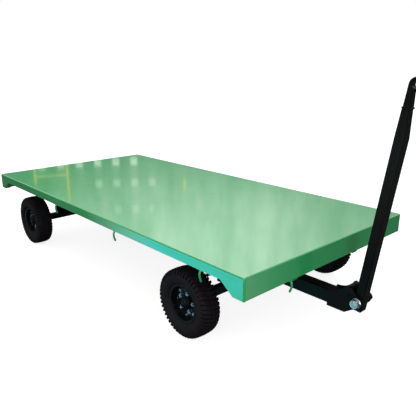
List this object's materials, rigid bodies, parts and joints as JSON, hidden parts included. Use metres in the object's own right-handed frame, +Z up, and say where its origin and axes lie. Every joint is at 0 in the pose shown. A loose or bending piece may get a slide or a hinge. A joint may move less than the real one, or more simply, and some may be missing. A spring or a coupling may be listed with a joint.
{
  "type": "platform trailer",
  "caption": "Flat steel platform trailer on pneumatic wheels, with a turntable front axle, rope hooks under the deck edge and a drawbar handle that folds down from upright.",
  "frame": {"origin": "on the floor under the centre of the trailer's bounding box, with the handle in its upright rest position", "axes": "+X towards the drawbar end, +Y to the left side, +Z up"},
  "size_m": [3.3746, 1.5178, 1.4269],
  "materials": {
    "green_enamel": "gloss enamel",
    "black_paint": "semi-gloss black paint",
    "rim_paint": "satin black paint",
    "tyre_rubber": "matt moulded rubber",
    "zinc_plate": "bright zinc plate",
    "plain_steel": "oiled machined steel"
  },
  "bodies": {
    "chassis": {"deck_plate": "green_enamel", "front_beam": "green_enamel", "rear_beam": "green_enamel", "side_rail_left": "green_enamel", "side_rail_right": "green_enamel", "main_beam_left": "green_enamel", "main_beam_right": "green_enamel", "cross_member_1": "green_enamel", "cross_member_2": "green_enamel", "cross_member_3": "green_enamel", "cross_member_4": "green_enamel", "rope_hook_left_1": "green_enamel", "rope_hook_left_2": "green_enamel", "rope_hook_left_3": "green_enamel", "rope_hook_right_1": "green_enamel", "rope_hook_right_2": "green_enamel", "rope_hook_right_3": "green_enamel", "rope_hook_front_left": "green_enamel", "rope_hook_front_right": "green_enamel", "rear_axle": "black_paint", "rear_pedestal_left": "black_paint", "rear_pedestal_right": "black_paint", "turntable_top_plate": "black_paint", "turntable_upper_ring": "black_paint", "king_pin": "plain_steel", "king_pin_nut": "zinc_plate"},
    "steering": {"turntable_lower_ring": "black_paint", "ball_race": "plain_steel", "steering_bolster": "black_paint", "front_axle": "black_paint", "drawbar_tube": "black_paint", "drawbar_ear_left": "black_paint", "drawbar_ear_right": "black_paint", "handle_stop": "black_paint", "pivot_bolt": "zinc_plate", "pivot_washer": "zinc_plate", "pivot_nut": "zinc_plate"},
    "handle": {"handle_tube": "black_paint", "handle_bush": "plain_steel", "tow_eye": "black_paint"},
    "wheel_front_left": {"tyre_front_left": "tyre_rubber", "rim_front_left": "rim_paint", "hub_front_left": "rim_paint", "bearing_front_left": "plain_steel", "dust_cap_front_left": "rim_paint"},
    "wheel_front_right": {"tyre_front_right": "tyre_rubber", "rim_front_right": "rim_paint", "hub_front_right": "rim_paint", "bearing_front_right": "plain_steel", "dust_cap_front_right": "rim_paint"},
    "wheel_rear_left": {"tyre_rear_left": "tyre_rubber", "rim_rear_left": "rim_paint", "hub_rear_left": "rim_paint", "bearing_rear_left": "plain_steel", "dust_cap_rear_left": "rim_paint"},
    "wheel_rear_right": {"tyre_rear_right": "tyre_rubber", "rim_rear_right": "rim_paint", "hub_rear_right": "rim_paint", "bearing_rear_right": "plain_steel", "dust_cap_rear_right": "rim_paint"}
  },
  "joints": [
    {"name": "steer_swivel", "type": "hinge", "parent": "chassis", "child": "steering", "pos_m": [0.81271, 0, 0.342], "axis": [0, 0, 1], "range_deg": [-30, 30]},
    {"name": "handle_hinge", "type": "hinge", "parent": "steering", "child": "handle", "pos_m": [1.49271, 0, 0.245], "axis": [0, 1, 0], "range_deg": [-15, 90]},
    {"name": "spin_front_left", "type": "hinge", "parent": "steering", "child": "wheel_front_left", "pos_m": [0.81271, 0.6588, 0.2034], "axis": [0, 1, 0], "continuous": true},
    {"name": "spin_front_right", "type": "hinge", "parent": "steering", "child": "wheel_front_right", "pos_m": [0.81271, -0.6588, 0.2034], "axis": [0, 1, 0], "continuous": true},
    {"name": "spin_rear_left", "type": "hinge", "parent": "chassis", "child": "wheel_rear_left", "pos_m": [-1.21479, 0.6588, 0.2034], "axis": [0, 1, 0], "continuous": true},
    {"name": "spin_rear_right", "type": "hinge", "parent": "chassis", "child": "wheel_rear_right", "pos_m": [-1.21479, -0.6588, 0.2034], "axis": [0, 1, 0], "continuous": true}
  ]
}
